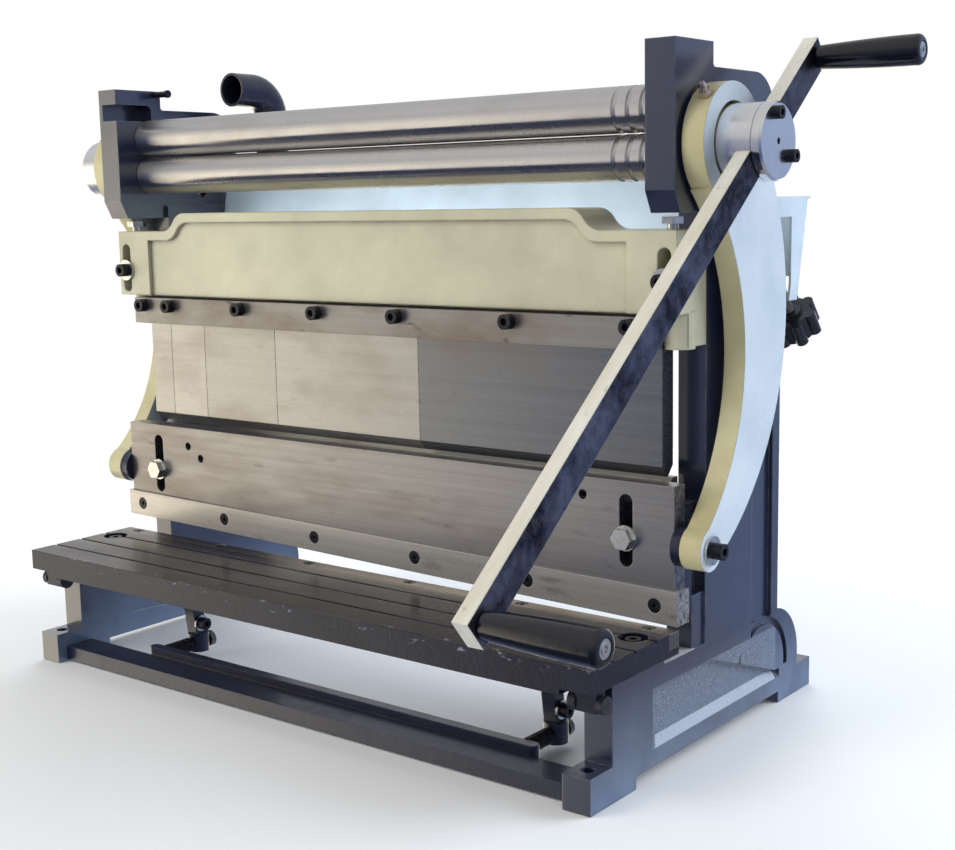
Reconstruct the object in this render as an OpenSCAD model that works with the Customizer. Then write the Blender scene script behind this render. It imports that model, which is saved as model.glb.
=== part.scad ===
// Bench machine for sheet metal: guillotine shear, press brake and slip roll on one frame.
// Origin: floor level, midway between the four foot bolts. +X right, +Y rear, +Z up.
// One crank works everything: its two eccentric hubs lift the ram through curved links,
// and its middle is the lower feed roll.

/* [Bed] */
// Working length, the sum of the brake finger widths
bed_l = 610; // [604:1:612]
// Widths of the brake fingers, left to right
finger_w = [30, 50, 100, 180, 250];

/* [Side castings] */
// Distance from the middle of the machine to a side casting's outer face
side_x = 328; // [327:0.5:329]
// Thickness of a side casting
side_t = 25; // [24:0.5:26]
// Depth over the feet
base_d = 363; // [360:1:366]
// Height of the front feet
foot_h = 28.4; // [26:0.2:30]
// Height of the top of the roll housings
frame_h = 561.6; // [560:0.2:564]
// Diameter of the foot bolt holes
foot_hole_d = 11; // [9:0.5:13]

/* [Table] */
// Height of the table's top
table_z = 111.8; // [111:0.1:112]
// Thickness of the table
table_t = 18.7; // [18.5:0.1:18.8]
// Depth of the table from its front edge to the shearing edge
table_d = 122.3; // [121:0.1:123]

/* [Ram] */
// Height of the front plate's top edge, and of the V die
plate_z = 224.5; // [223:0.1:225]
// Thickness of the front plate
plate_t = 16; // [15:0.5:16]
// Height of the blade's cutting edge above the floor at the middle
blade_z = 120.65; // [120:0.05:122]
// Fall of the cutting edge over the blade's length, for a shearing cut
blade_rake = 13.9; // [10:0.1:14]

/* [Brake] */
// Height of the finger tips above the V die
tip_gap = 1.5; // [1.2:0.1:2]
// Angle of the finger tips
tip_angle = 84; // [80:1:86]

/* [Rolls] */
// Diameter of the three rolls
roll_d = 36.7; // [36:0.1:37]
// Pinch gap between the two front rolls
roll_gap = 0.5; // [0.3:0.1:1]
// Radius of the wire grooves
wire_r = 2.2; // [1.5:0.1:2.5]

/* [Crank and lever] */
// Diameter of the eccentric hubs
hub_d = 58.6; // [57:0.2:59]
// Angle of the lever below the horizontal, at rest
lever_angle = 38.7; // [36:0.1:40]
// Length of the lever's front arm, from the hub
front_arm = 463; // [440:1:470]
// Length of the lever's rear arm, from the hub
rear_arm = 115; // [112:1:125]
// Length of a handle grip
grip_l = 84; // [76:1:90]

/* [Hidden] */
$fn = 64;

navy = [0.09, 0.11, 0.20];
cream = [0.80, 0.78, 0.64];
pale = [0.78, 0.83, 0.80];
steel = [0.62, 0.61, 0.60];
bright = [0.78, 0.78, 0.79];
black = [0.07, 0.07, 0.08];
bronze = [0.65, 0.48, 0.25];

eps = 0.1;
fit = 0.05;
screw_sink = 0.4;
inner_x = side_x - side_t;

// Side casting, as an outline in Y and Z
leg_y = -151.5;
column_y = -13.5;
column_rear_y = 115;
arch_z = 10;
front_foot_l = 63;
rear_foot_l = 63;
rear_foot_h = 26;
seat_z = table_z - table_t;
seat_rear_y = -77;
shoulder_z = 88;
column_bend_z = 330;
horn_y = 88;
horn_z = 543;
horn_r = 32;
lobe_y = 106.5;
lobe_z = 39;
lobe_r = 49;
ring_yz = [88, 38];
ring_d = 94;
housing_y = -70.5;
housing_z = 434;
housing_x = [307, 333];
foot_bolt_x = side_x - side_t / 2;
foot_bolt_y = 166.5;
ledge_z = 131.6;
guide_x = [305.5, 318];
guide_y = -31.5;
tie_rod_d = 25;
tie_rods_yz = [[85, 160], [60, 335]];
socket_depth = 15;

// Rolls and crank
roll_y = -30.5;
roll_z = 476.5;
upper_z = roll_z + roll_d + roll_gap;
roll_end_x = 306.5;
journal_d = 24;
bush_d = 32;
hub_y = roll_y + 11;
hub_z = roll_z + 8.5;
hub_journal_d = 22;
hub_x = [334, 382.6];
left_hub_end = 394;
lever_x = [370.3, 382.3];
lever_w = 24;
cap_x = [383, 391];
cap_screw = [8, 20];
groove_x = [265, 278, 290.5];
grip_at = [-453, 105];
grip_x = 383;
spindle_d = 8;

latch = [-20, 558];

// Rear roll and its adjusters
slide_angle = 49;
rear_y = 35;
rear_z = 477.6;
block_w = 30;
block_x = [308, 332];
rear_journal_d = 20;
adjuster_x = 318;
adjuster_d = 10;
adjuster_l = 183.6;
boss_d = 28;
knob_t = 22;
knob_r = 18;
lobe_count = 7;
knob_lobe_r = 5.5;

// Ram
ram_y = [-43, -32.3];
ram_x = 326;
ram_top = 205;
blade_y = -61.5;
blade_x = 330;
blade_w = 25;
plate_y = ram_y[0] - plate_t;
plate_bolt = [282, 178.6];
slot_z = [155, 214];
slot_w = 12.5;
blade_screw_x = [61.9, 185.7, 309.5];
set_screws = [[-237, 206], [-219, 195], [222, 198], [241, 209.5]];
set_screw_d = 8;
v_y = -33;
v_half = 7;
die_rear_y = -18;
eye = [-51, 176.5];
eye_r = 17;
link_x = [335.5, 354];
link_boss_r = 46;
link_bore_r = 31.6;
link_bore_off = 1.05;
nipple_x = 347;
nipple_angle = 41;
link_rear = [-144.4, 356.1, 216];
link_front = [-175.3, 323.2, 177];
pin_d = 14;
washer_t = 2;

// Brake beam
beam_y = [-59, -14];
beam_z = [357, 421, 438.6];
beam_step = [228, 260];
panel_x = 283;
panel_margin = 9;
panel_depth = 4;
beam_back_z = [331, 343];
beam_lip_y = -25;
finger_t = 16;
finger_y = beam_lip_y - finger_t;
finger_z = [plate_z + tip_gap, 342.8];
bar_z = [329, 354.6];
bar_x = 305.5;
bar_t = 20;
bar_screw_z = 347;
bar_screws = [-291, -251, -150, -49, 48, 171, 288];
beam_slot_z = [360, 408];
beam_slot_x = 317;
beam_screw_z = 382;
jack_y = -45;
foot_boss_y = -35;
foot_boss_d = 23.6;

// Table
table_x = 332;
table_y = [blade_y - 0.4 - table_d, blade_y - 0.4];
groove_y = [-156, -126, -96];
lower_blade_y = -76;
lower_blade_z = 99;
apron_z = 88.4;
apron_y = 14;
table_bolt = [312, -97];
lug_y = [-172, -160];
lug_z = 81;

// Front stop
stop_x = [-204, 231];
stop_rod_z = 15;
stop_rod_d = 8;
stop_arm_y = -86;
stop_arm_w = 13;
stop_socket_d = 21;
stop_screw_z = 36;
stop_bar_y = [-137, -127];
stop_bar_x = [-214, 241];

// Rear sheet metal
sheet_t = 2;
guard_x = 330;
guard_front_y = 93;
elbow_x = -256;
elbow_y = 93.5;
elbow_mouth_y = 38.5;
elbow_z = 563;
elbow_r = 17;
elbow_bore = 14.5;
elbow_bend = 28;
shelf_z = 398;

function blade_edge(x) = blade_z - blade_rake / 2 * x / blade_x;
function blade_back(x) = blade_z + blade_w + 1.3 - 5.65 * x / blade_x;
function arc(y, z, r, a0, a1, n = 8) =
    [for (i = [0:n]) [y + r * cos(a0 + (a1 - a0) * i / n), z + r * sin(a0 + (a1 - a0) * i / n)]];
function finger_start(i) = i == 0 ? -bed_l / 2 : finger_start(i - 1) + finger_w[i - 1];

// ---- shared shapes ----

module block(x0, x1, y0, y1, z0, z1) {
    translate([x0, y0, z0]) cube([x1 - x0, y1 - y0, z1 - z0]);
}

module rod_x(x0, x1, y, z, d) {
    translate([x0, y, z]) rotate([0, 90, 0]) cylinder(d = d, h = x1 - x0);
}

module rod_y(x, y0, y1, z, d) {
    translate([x, y1, z]) rotate([90, 0, 0]) cylinder(d = d, h = y1 - y0);
}

module rod_z(x, y, z0, z1, d) {
    translate([x, y, z0]) cylinder(d = d, h = z1 - z0);
}

// Extrudes an outline drawn in Y and Z
module slab_x(x0, x1) {
    translate([x0, 0, 0]) rotate([90, 0, 90]) linear_extrude(x1 - x0) children();
}

// Extrudes an outline drawn in X and Z
module slab_y(y0, y1) {
    translate([0, y1, 0]) rotate([90, 0, 0]) linear_extrude(y1 - y0) children();
}

module both_sides() {
    children();
    mirror([1, 0, 0]) children();
}

// Places children, drawn along +Z, along the rear roll's slide, from its axis
module along_slide(x) {
    translate([x, rear_y, rear_z]) rotate([90 - slide_angle, 0, 0]) children();
}

// Places children, drawn along +X, along the lever, from the hub's centre
module along_lever() {
    translate([0, hub_y, hub_z]) rotate([lever_angle, 0, 0]) children();
}

// Round slot through Y
module slot_y(x, y0, y1, z0, z1, w) {
    rod_y(x, y0, y1, z0 + w / 2, w);
    rod_y(x, y0, y1, z1 - w / 2, w);
    block(x - w / 2, x + w / 2, y0, y1, z0 + w / 2, z1 - w / 2);
}

// Socket cap screw whose head points to -Y, with its head's underside at y
module cap_screw_y(x, y, z, d, l) {
    head_d = 1.6 * d;
    difference() {
        union() {
            rod_y(x, y - d, y, z, head_d);
            rod_y(x, y - eps, y + l, z, d);
        }
        translate([x, y - d / 2, z]) rotate([90, 0, 0]) cylinder(d = 0.9 * d, h = d, $fn = 6);
    }
}

// Countersunk socket screw whose head points to -Y, flush with y
module flat_screw_y(x, y, z, d, l) {
    difference() {
        union() {
            translate([x, y, z]) rotate([-90, 0, 0]) cylinder(d1 = 2 * d, d2 = d, h = d / 2);
            rod_y(x, y + d / 2 - eps, y + l, z, d);
        }
        translate([x, y + d / 3, z]) rotate([90, 0, 0]) cylinder(d = 0.7 * d, h = d, $fn = 6);
    }
}

// Hole for a countersunk screw that lies screw_sink below y
module flat_hole_y(x, y, z, d, l) {
    rod_y(x, y - eps, y + screw_sink + eps, z, 2 * d + 2 * eps);
    translate([x, y + screw_sink, z]) rotate([-90, 0, 0])
        cylinder(d1 = 2 * d + 2 * eps, d2 = d + 2 * eps, h = d / 2);
    rod_y(x, y + screw_sink, y + l, z, d + 2 * eps);
}

// ---- frame ----

module lower_outline() {
    translate([-base_d / 2, 0]) square([front_foot_l, foot_h]);
    translate([base_d / 2 - rear_foot_l, 0]) square([rear_foot_l, rear_foot_h]);
    translate([leg_y, arch_z]) square([seat_rear_y - leg_y, seat_z - arch_z]);
    translate([leg_y, arch_z]) square([column_rear_y - leg_y, shoulder_z - arch_z]);
    polygon([[column_y, arch_z], [column_rear_y, arch_z], [column_rear_y, column_bend_z],
        [horn_y, 446], [column_y, 446]]);
    intersection() {
        translate([lobe_y, lobe_z]) circle(r = lobe_r);
        translate([lobe_y - lobe_r, arch_z]) square([2 * lobe_r, 2 * lobe_r]);
    }
}

module upper_outline() {
    polygon([[housing_y, 451], [housing_y + 8.5, housing_z], [horn_y + 2.5, housing_z],
        [horn_y, 446], [horn_y, horn_z - horn_r], [horn_y - horn_r, horn_z],
        [column_y + 2, horn_z], [column_y, horn_z + 2], [column_y, frame_h],
        [housing_y, frame_h]]);
    translate([horn_y - horn_r, horn_z - horn_r]) circle(r = horn_r);
}

// Shallow rough pocket in the outer face of the base, with a sloping lower ledge
module base_pocket() {
    slab_x(side_x - 5, side_x + 1)
        polygon([[-91, 31.5], [-94, 68], [-90, 72], [-3, 72], [112, 31.5]]);
    translate([0, 120, 0]) rotate([90, 0, 0]) linear_extrude(211)
        polygon([[side_x - 5, 31.6], [side_x + 1, 31.6], [side_x + 1, 23], [side_x, 24]]);
}

// Plain pocket in the inner face of the base
module inner_pocket() {
    slab_x(inner_x - 1, inner_x + 4)
        polygon([[-90, 30], [-90, 72], [-10, 72], [-10, 25]]);
}

// Channel down the outer face of the column, which ends round a low boss
module column_channel() {
    block(side_x - 4, side_x + 1, 66, 103, 84, column_bend_z);
    difference() {
        rod_x(side_x - 4, side_x + 1, ring_yz[0], ring_yz[1], ring_d);
        rod_x(side_x - 5, side_x + 2, ring_yz[0], ring_yz[1], ring_d - 14);
        block(side_x - 5, side_x + 2, ring_yz[0] - 40, 66, 0, 100);
        block(side_x - 5, side_x + 2, 0, 200, -20, 33);
    }
}

module side_casting() {
    difference() {
        union() {
            slab_x(inner_x, side_x) lower_outline();
            slab_x(housing_x[0], housing_x[1]) upper_outline();
            block(inner_x, side_x - 2, guide_y, column_y + 1, shoulder_z - 1, ledge_z);
            along_slide(adjuster_x) translate([0, 0, -119]) cylinder(d = boss_d, h = 35);
        }
        rod_z(foot_bolt_x, -foot_bolt_y, -1, foot_h + 1, foot_hole_d);
        rod_z(foot_bolt_x, foot_bolt_y, -1, foot_h + 1, foot_hole_d);
        for (z = [roll_z, upper_z])
            rod_x(300, 340, roll_y, z, bush_d + fit);
        along_slide(0) {
            translate([300, -block_w / 2 - 0.3, -block_w / 2 - 5])
                cube([40, block_w + 0.6, block_w + 14]);
            translate([adjuster_x, 0, -150]) cylinder(d = adjuster_d + 0.7, h = 140);
        }
        base_pocket();
        inner_pocket();
        column_channel();
        rod_z(table_bolt[0], table_bolt[1], 70, seat_z + 1, 8.4);
        rod_y(beam_slot_x, column_y - 1, 6, beam_screw_z, 8.4);
        for (p = tie_rods_yz)
            rod_x(inner_x - 1, inner_x + socket_depth, p[0], p[1], tie_rod_d + fit);
    }
}

module right_frame() {
    color(navy) side_casting();
}

// The left casting is cut away over the upper roll's bearing and holds the latch pin
module left_frame() {
    notch_z = [531, 547];
    color(navy) mirror([1, 0, 0]) difference() {
        side_casting();
        block(300, 328, housing_y - 1, -32, notch_z[0], notch_z[1]);
        block(300, 328, -33, -26, notch_z[0], notch_z[1] - 6);
        rod_x(300, 328, -32, notch_z[1] - 6, 12);
        rod_x(300, 340, latch[0], latch[1], 6.1);
    }
}

module tie_rods() {
    color(navy) for (p = tie_rods_yz)
        rod_x(-inner_x - socket_depth + 0.5, inner_x + socket_depth - 0.5, p[0], p[1], tie_rod_d);
}

module front_tie() {
    color(navy) slab_x(-inner_x, inner_x)
        polygon([[-171, 1.5], [-167, 1.5], [-167, 11], [-141, 11], [-141, 15], [-171, 15]]);
}

module column_guides() {
    color(steel) both_sides()
        block(guide_x[0], guide_x[1], guide_y - 0.3, column_y, ledge_z, ram_top);
}

module roll_bushes() {
    color(bronze) both_sides() for (z = [roll_z, upper_z])
        difference() {
            rod_x(housing_x[0], housing_x[1], roll_y, z, bush_d);
            rod_x(housing_x[0] - 1, housing_x[1] + 1, roll_y, z, journal_d + 2 * fit);
        }
}

module beam_clamp_screws() {
    color(black) both_sides()
        cap_screw_y(beam_slot_x, beam_y[0] - washer_t - 0.3, beam_screw_z, 8, 63);
}

module frame_washers() {
    color(bright) {
        both_sides() difference() {
            rod_y(beam_slot_x, beam_y[0] - washer_t - 0.3, beam_y[0] - 0.3, beam_screw_z, 21);
            rod_y(beam_slot_x, beam_y[0] - 3, beam_y[0], beam_screw_z, 8);
        }
        for (x = stop_x)
            difference() {
                rod_x(x + stop_arm_w / 2, x + stop_arm_w / 2 + washer_t, stop_arm_y - 2,
                    stop_screw_z, 16);
                rod_x(x, x + 20, stop_arm_y - 2, stop_screw_z, 8);
            }
    }
}

// ---- table ----

module table() {
    color([0.20, 0.19, 0.20]) difference() {
        union() {
            block(-table_x, table_x, table_y[0], table_y[1], seat_z, table_z);
            block(-inner_x, inner_x, table_y[0], table_y[0] + apron_y, apron_z, seat_z + 1);
            both_sides() block(309, 327, lug_y[0], lug_y[1], lug_z - 6, seat_z + 1);
        }
        for (y = groove_y)
            block(-table_x - 1, table_x + 1, y - 1.5, y + 1.5, table_z - 2, table_z + 1);
        block(-table_x - 1, table_x + 1, lower_blade_y, table_y[1] + 1, lower_blade_z, table_z + 1);
        both_sides() {
            rod_z(table_bolt[0], table_bolt[1], 60, table_z + 1, 9);
            rod_z(table_bolt[0], table_bolt[1], table_z - 9, table_z + 1, 24);
            rod_x(300, 340, (lug_y[0] + lug_y[1]) / 2, lug_z, 7.2);
            for (x = blade_screw_x)
                rod_z(x, -69, seat_z + 1, table_z, 6.4);
        }
    }
}

module lower_blade() {
    color(steel) difference() {
        block(-table_x, table_x, lower_blade_y, table_y[1], lower_blade_z, table_z);
        both_sides() for (x = blade_screw_x)
            rotate([-90, 0, 0]) flat_hole_y(x, -table_z, -69, 6, 20);
    }
}

module lower_blade_screws() {
    color(black) both_sides() for (x = blade_screw_x)
        rotate([-90, 0, 0]) flat_screw_y(x, -table_z + screw_sink, -69, 6, 16);
}

module table_bolts() {
    color(black) both_sides() rotate([-90, 0, 0])
        cap_screw_y(table_bolt[0], -table_z + 9, table_bolt[1], 8, 30);
}

module table_lug_screws() {
    y = (lug_y[0] + lug_y[1]) / 2;
    color(black) both_sides() {
        rod_x(302.5, 309, y, lug_z, 16);
        rod_x(308.9, 327.1, y, lug_z, 7);
        rod_x(327, 333, y, lug_z, 14);
    }
}

// ---- front stop ----

// Arms under the table that lean forward, each with a socket for a rod
module stop_arms() {
    w = stop_arm_w;
    color(navy) for (x = stop_x)
        difference() {
            union() {
                slab_x(x - w / 2, x + w / 2)
                    polygon([[stop_arm_y - w / 2, stop_rod_z], [stop_arm_y + w / 2, stop_rod_z],
                        [stop_arm_y + w / 2 - 10, seat_z], [stop_arm_y - w / 2 - 10, seat_z]]);
                rod_z(x, stop_arm_y, stop_rod_z - 8, stop_rod_z + 10, stop_socket_d);
            }
            rod_y(x, stop_arm_y - 20, stop_arm_y + 20, stop_rod_z, stop_rod_d + 0.6);
            rod_x(x, x + 20, stop_arm_y - 2, stop_screw_z, 8.2);
        }
}

module stop_arm_screws() {
    color(black) for (x = stop_x)
        difference() {
            union() {
                rod_x(x + 2, x + stop_arm_w / 2 + washer_t + 0.1, stop_arm_y - 2, stop_screw_z, 8);
                rod_x(x + stop_arm_w / 2 + washer_t, x + stop_arm_w / 2 + washer_t + 7,
                    stop_arm_y - 2, stop_screw_z, 12);
            }
            translate([x + stop_arm_w / 2 + washer_t + 4, stop_arm_y - 2, stop_screw_z])
                rotate([0, 90, 0]) cylinder(d = 6, h = 4, $fn = 6);
        }
}

// Bar with round ends that a sheet is pushed against; it gives way on its two springs
module stop_bar() {
    mid = (stop_bar_y[0] + stop_bar_y[1]) / 2;
    w = stop_bar_y[1] - stop_bar_y[0];
    color(navy) difference() {
        union() {
            block(stop_bar_x[0], stop_bar_x[1], stop_bar_y[0], stop_bar_y[1],
                stop_rod_z - 6, stop_rod_z + 6);
            for (x = stop_bar_x)
                rod_z(x, mid, stop_rod_z - 6, stop_rod_z + 6, w);
        }
        for (x = stop_x)
            rod_y(x, stop_bar_y[0] + 2, stop_bar_y[1] + 1, stop_rod_z, stop_rod_d + fit);
    }
}

// Each rod is held in the bar and stopped by a collar behind its arm
module stop_rods() {
    behind = stop_arm_y + stop_socket_d / 2;
    color(steel) for (x = stop_x) {
        rod_y(x, stop_bar_y[0] + 2.5, behind + 8, stop_rod_z, stop_rod_d);
        rod_y(x, behind + 0.3, behind + 6, stop_rod_z, 15);
    }
}

// The coil springs' envelope
module stop_springs() {
    front = stop_arm_y - stop_socket_d / 2;
    color(black) for (x = stop_x)
        difference() {
            rod_y(x, stop_bar_y[1] + 0.2, front - 0.4, stop_rod_z, 14);
            rod_y(x, stop_bar_y[1], front, stop_rod_z, stop_rod_d + 0.4);
        }
}

// ---- rear sheet metal ----

module rear_panel() {
    color(pale) slab_x(-inner_x, inner_x)
        polygon([[56, shelf_z - sheet_t], [118, shelf_z - sheet_t], [118, shelf_z],
            [58.4, shelf_z], [70.5, 462], [68.5, 462]]);
}

// Sloping wall with a cheek at each end; the cheeks are cut away round the adjusters' bosses
module rear_guard() {
    low = [141.2, 356];
    top = [159.5, 444];
    color(pale) {
        difference() {
            slab_x(-guard_x, guard_x)
                polygon([low, [top[0], top[1] - sheet_t], [165, top[1] - sheet_t], [165, top[1]],
                    [top[0] - sheet_t, top[1]], [low[0] - sheet_t, low[1]]]);
            both_sides() block(306, side_x - 0.1, 130, 155, 350, 376);
        }
        both_sides() slab_x(side_x, guard_x)
            polygon([[130, low[1]], [low[0] - 0.5, low[1]], [top[0] - 0.5, top[1]],
                [guard_front_y, top[1]], [guard_front_y, 427], [129, 427], [129, 371],
                [126, low[1]]]);
    }
}

// Tube that stands on the shelf and bends to face the operator
module rear_elbow() {
    color(black) difference() {
        union() {
            elbow_tube(elbow_r, 0);
            rod_z(elbow_x, elbow_y, shelf_z, shelf_z + 4, 44);
        }
        elbow_tube(elbow_bore, 1);
    }
}

// The elbow's tube at a radius, longer at both ends by past
module elbow_tube(r, past) {
    rod_y(elbow_x, elbow_mouth_y - past, elbow_y - elbow_bend, elbow_z, 2 * r);
    rod_z(elbow_x, elbow_y, shelf_z - past, elbow_z - elbow_bend, 2 * r);
    translate([elbow_x, elbow_y - elbow_bend, elbow_z - elbow_bend]) rotate([90, 0, 90])
        rotate_extrude(angle = 90) translate([elbow_bend, 0]) circle(r = r);
}

// ---- ram: shear blade, V die and links ----

module ram_screw_holes() {
    both_sides() rod_y(plate_bolt[0], ram_y[0] - 1, ram_y[1] + 1, plate_bolt[1], 10.4);
    for (x = blade_screw_x, s = [-1, 1])
        rod_y(s * x, ram_y[0] - 1, ram_y[1] + 1, screw_line(s * x), 6.2);
}

function screw_line(x) = (blade_edge(x) + blade_back(x)) / 2;

module ram_beam() {
    color(navy) difference() {
        union() {
            slab_y(ram_y[0], ram_y[1])
                polygon([[-ram_x, blade_edge(-ram_x) + 4], [ram_x, blade_edge(ram_x) + 4],
                    [ram_x, ram_top], [-ram_x, ram_top]]);
            block(-298, 298, ram_y[1] - 1, die_rear_y + 2, 135, ram_top);
            both_sides() {
                rod_x(ram_x + 0.4, link_x[0] - 0.5, eye[0], eye[1], 2 * eye_r - 2);
                block(ram_x + 0.4, link_x[0] - 0.5, eye[0], ram_y[1], eye[1] - 15, eye[1] + 15);
                block(ram_x - 10, ram_x + 1, ram_y[0], ram_y[1], eye[1] - 15, eye[1] + 15);
            }
        }
        ram_screw_holes();
        both_sides() rod_x(ram_x + 0.3, link_x[0], eye[0], eye[1], pin_d + 2 * fit);
    }
}

module front_plate() {
    color(steel) difference() {
        slab_y(plate_y, ram_y[0])
            polygon([[-ram_x, blade_back(-ram_x)], [ram_x, blade_back(ram_x)],
                [ram_x, plate_z], [-ram_x, plate_z]]);
        both_sides() slot_y(plate_bolt[0], plate_y - 1, ram_y[0] + 1, slot_z[0], slot_z[1], slot_w);
        for (p = set_screws)
            rod_y(p[0], plate_y - 1, ram_y[0] + 1, p[1], set_screw_d + 2 * fit);
    }
}

module upper_blade() {
    color(steel) difference() {
        slab_y(blade_y, ram_y[0])
            polygon([[-blade_x, blade_edge(-blade_x)], [blade_x, blade_edge(blade_x)],
                [blade_x, blade_back(blade_x)], [-blade_x, blade_back(-blade_x)]]);
        for (x = blade_screw_x, s = [-1, 1])
            flat_hole_y(s * x, blade_y, screw_line(s * x), 6, 30);
    }
}

module upper_blade_screws() {
    color(black) for (x = blade_screw_x, s = [-1, 1])
        flat_screw_y(s * x, blade_y + screw_sink, screw_line(s * x), 6, 26);
}

module plate_bolts() {
    color(bright) both_sides() {
        rod_y(plate_bolt[0], plate_y - 2, plate_y, plate_bolt[1], 21);
        translate([plate_bolt[0], plate_y - 1.9, plate_bolt[1]]) rotate([90, 0, 0])
            cylinder(d = 18.5, h = 7, $fn = 6);
        rod_y(plate_bolt[0], plate_y - 2, ram_y[1] - 0.5, plate_bolt[1], 10);
    }
}

module plate_set_screws() {
    color(black) for (p = set_screws)
        difference() {
            rod_y(p[0], plate_y + 2, ram_y[0] - 0.4, p[1], set_screw_d);
            translate([p[0], plate_y + 6, p[1]]) rotate([90, 0, 0])
                cylinder(d = 4.6, h = 5, $fn = 6);
        }
}

module v_die() {
    color(steel) slab_x(-bed_l / 2, bed_l / 2)
        polygon([[ram_y[0], ram_top], [die_rear_y, ram_top], [die_rear_y, plate_z],
            [v_y + v_half, plate_z], [v_y, plate_z - v_half], [v_y - v_half, plate_z],
            [ram_y[0], plate_z]]);
}

// Crescent between two arcs, from the hub boss to the eye
module link_outline() {
    difference() {
        union() {
            translate([hub_y, hub_z]) circle(r = link_boss_r);
            translate(eye) circle(r = eye_r);
            difference() {
                intersection() {
                    translate([link_rear[0], link_rear[1]]) circle(r = link_rear[2], $fn = 180);
                    polygon([[link_front[0], link_front[1]], [-7, 124.5], [120, 150],
                        [120, hub_z + 5], [hub_y, hub_z + 5], [hub_y, hub_z]]);
                }
                translate([link_front[0], link_front[1]]) circle(r = link_front[2], $fn = 180);
            }
        }
        translate([hub_y + link_bore_off, hub_z]) circle(r = link_bore_r);
        translate(eye) circle(d = pin_d + 2 * fit);
    }
}

// Places children, drawn along +Z, at the grease nipple's seat on the link's boss
module at_nipple() {
    translate([nipple_x, hub_y, hub_z]) rotate([nipple_angle, 0, 0])
        translate([0, 0, link_boss_r - 0.5]) children();
}

module link() {
    difference() {
        slab_x(link_x[0], link_x[1]) link_outline();
        at_nipple() {
            cylinder(d = 12, h = 3);
            translate([0, 0, -7]) cylinder(d = 5 + 2 * fit, h = 8);
        }
    }
}

module right_link() {
    color(cream) link();
}

module left_link() {
    color(cream) mirror([1, 0, 0]) link();
}

module link_pins() {
    color(bright) both_sides() difference() {
        rod_x(ram_x + 0.6, link_x[1] + 0.3, eye[0], eye[1], pin_d);
        rod_x(link_x[1] - 14, link_x[1] + 1, eye[0], eye[1], 6.2);
    }
}

module link_screws() {
    x = link_x[1] + 0.3;
    color(black) both_sides() difference() {
        union() {
            rod_x(x + washer_t, x + 11.5, eye[0], eye[1], 13);
            rod_x(x - 12, x + washer_t + 0.1, eye[0], eye[1], 6);
        }
        translate([x + 6.5, eye[0], eye[1]]) rotate([0, 90, 0]) cylinder(d = 7, h = 6, $fn = 6);
    }
}

module link_washers() {
    x = link_x[1] + 0.3;
    color(bright) both_sides() difference() {
        rod_x(x, x + washer_t, eye[0], eye[1], 23);
        rod_x(x - 1, x + 5, eye[0], eye[1], 6);
    }
}

module grease_nipples() {
    color(bright) both_sides() at_nipple() {
        translate([0, 0, -6]) cylinder(d = 5, h = 14);
        cylinder(d = 10, h = 5, $fn = 6);
        translate([0, 0, 7.9]) cylinder(d1 = 6.5, d2 = 4, h = 4);
    }
}

// ---- brake beam, clamp bar and fingers ----

// Half of a long edge that rises through an S to its middle
function beam_edge(z_end, z_mid, x_off, x_end) =
    let (w = beam_step[1] - beam_step[0], h = z_mid - z_end, r = (w * w + h * h) / (4 * h),
        a = 2 * atan(h / w))
    concat(
        [[x_end, z_end]],
        arc(beam_step[1] - x_off, z_end + r, r, 270, 270 - a, 6),
        arc(beam_step[0] - x_off, z_mid - r, r, 90 - a, 90, 6));

function mirrored(points) =
    concat(points, [for (i = [len(points) - 1:-1:0]) [-points[i][0], points[i][1]]]);

module beam_outline(z_end, z_mid, x_off, x_end, z_low) {
    polygon(mirrored(concat([[x_end, z_low]], beam_edge(z_end, z_mid, x_off, x_end))));
}

module brake_beam() {
    color(cream) difference() {
        union() {
            slab_y(beam_y[0], beam_y[1]) beam_outline(beam_z[1], beam_z[2], 0, side_x, beam_z[0]);
            block(-side_x, side_x, finger_y, beam_y[1], beam_back_z[1], beam_z[0] + 1);
            block(-side_x, side_x, beam_lip_y, beam_y[1], beam_back_z[0], beam_back_z[1] + 1);
            both_sides() {
                block(bed_l / 2 + 1, side_x, finger_y, beam_y[1], beam_back_z[0],
                    beam_back_z[1] + 1);
                rod_z(beam_slot_x, foot_boss_y, beam_back_z[0] - 2, beam_z[0] + 1, foot_boss_d);
            }
        }
        slab_y(beam_y[0] - 1, beam_y[0] + panel_depth)
            beam_outline(beam_z[1] - panel_margin, beam_z[2] - panel_margin, 4, panel_x,
                beam_z[0] - 1);
        both_sides() {
            slot_y(beam_slot_x, beam_y[0] - 1, beam_y[1] + 1, beam_slot_z[0], beam_slot_z[1], 12);
            rod_z(beam_slot_x - 1, jack_y, 409, beam_z[1] + 1, 8.2);
        }
        for (x = bar_screws)
            rod_y(x, finger_y - 1, beam_lip_y + 4, bar_screw_z, 8.4);
    }
}

module clamp_bar() {
    color(steel) difference() {
        block(-bar_x, bar_x, finger_y - bar_t, finger_y, bar_z[0], bar_z[1]);
        for (x = bar_screws)
            rod_y(x, finger_y - bar_t - 1, finger_y + 1, bar_screw_z, 8.6);
    }
}

module clamp_bar_screws() {
    color(black) for (x = bar_screws)
        cap_screw_y(x, finger_y - bar_t, bar_screw_z, 8, bar_t + 15);
}

module beam_jack_screws() {
    color(bright) both_sides() {
        rod_z(beam_slot_x - 1, jack_y, 410, 426, 8);
        translate([beam_slot_x - 1, jack_y, 425.5]) cylinder(d = 19, h = 5.5, $fn = 6);
    }
}

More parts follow.
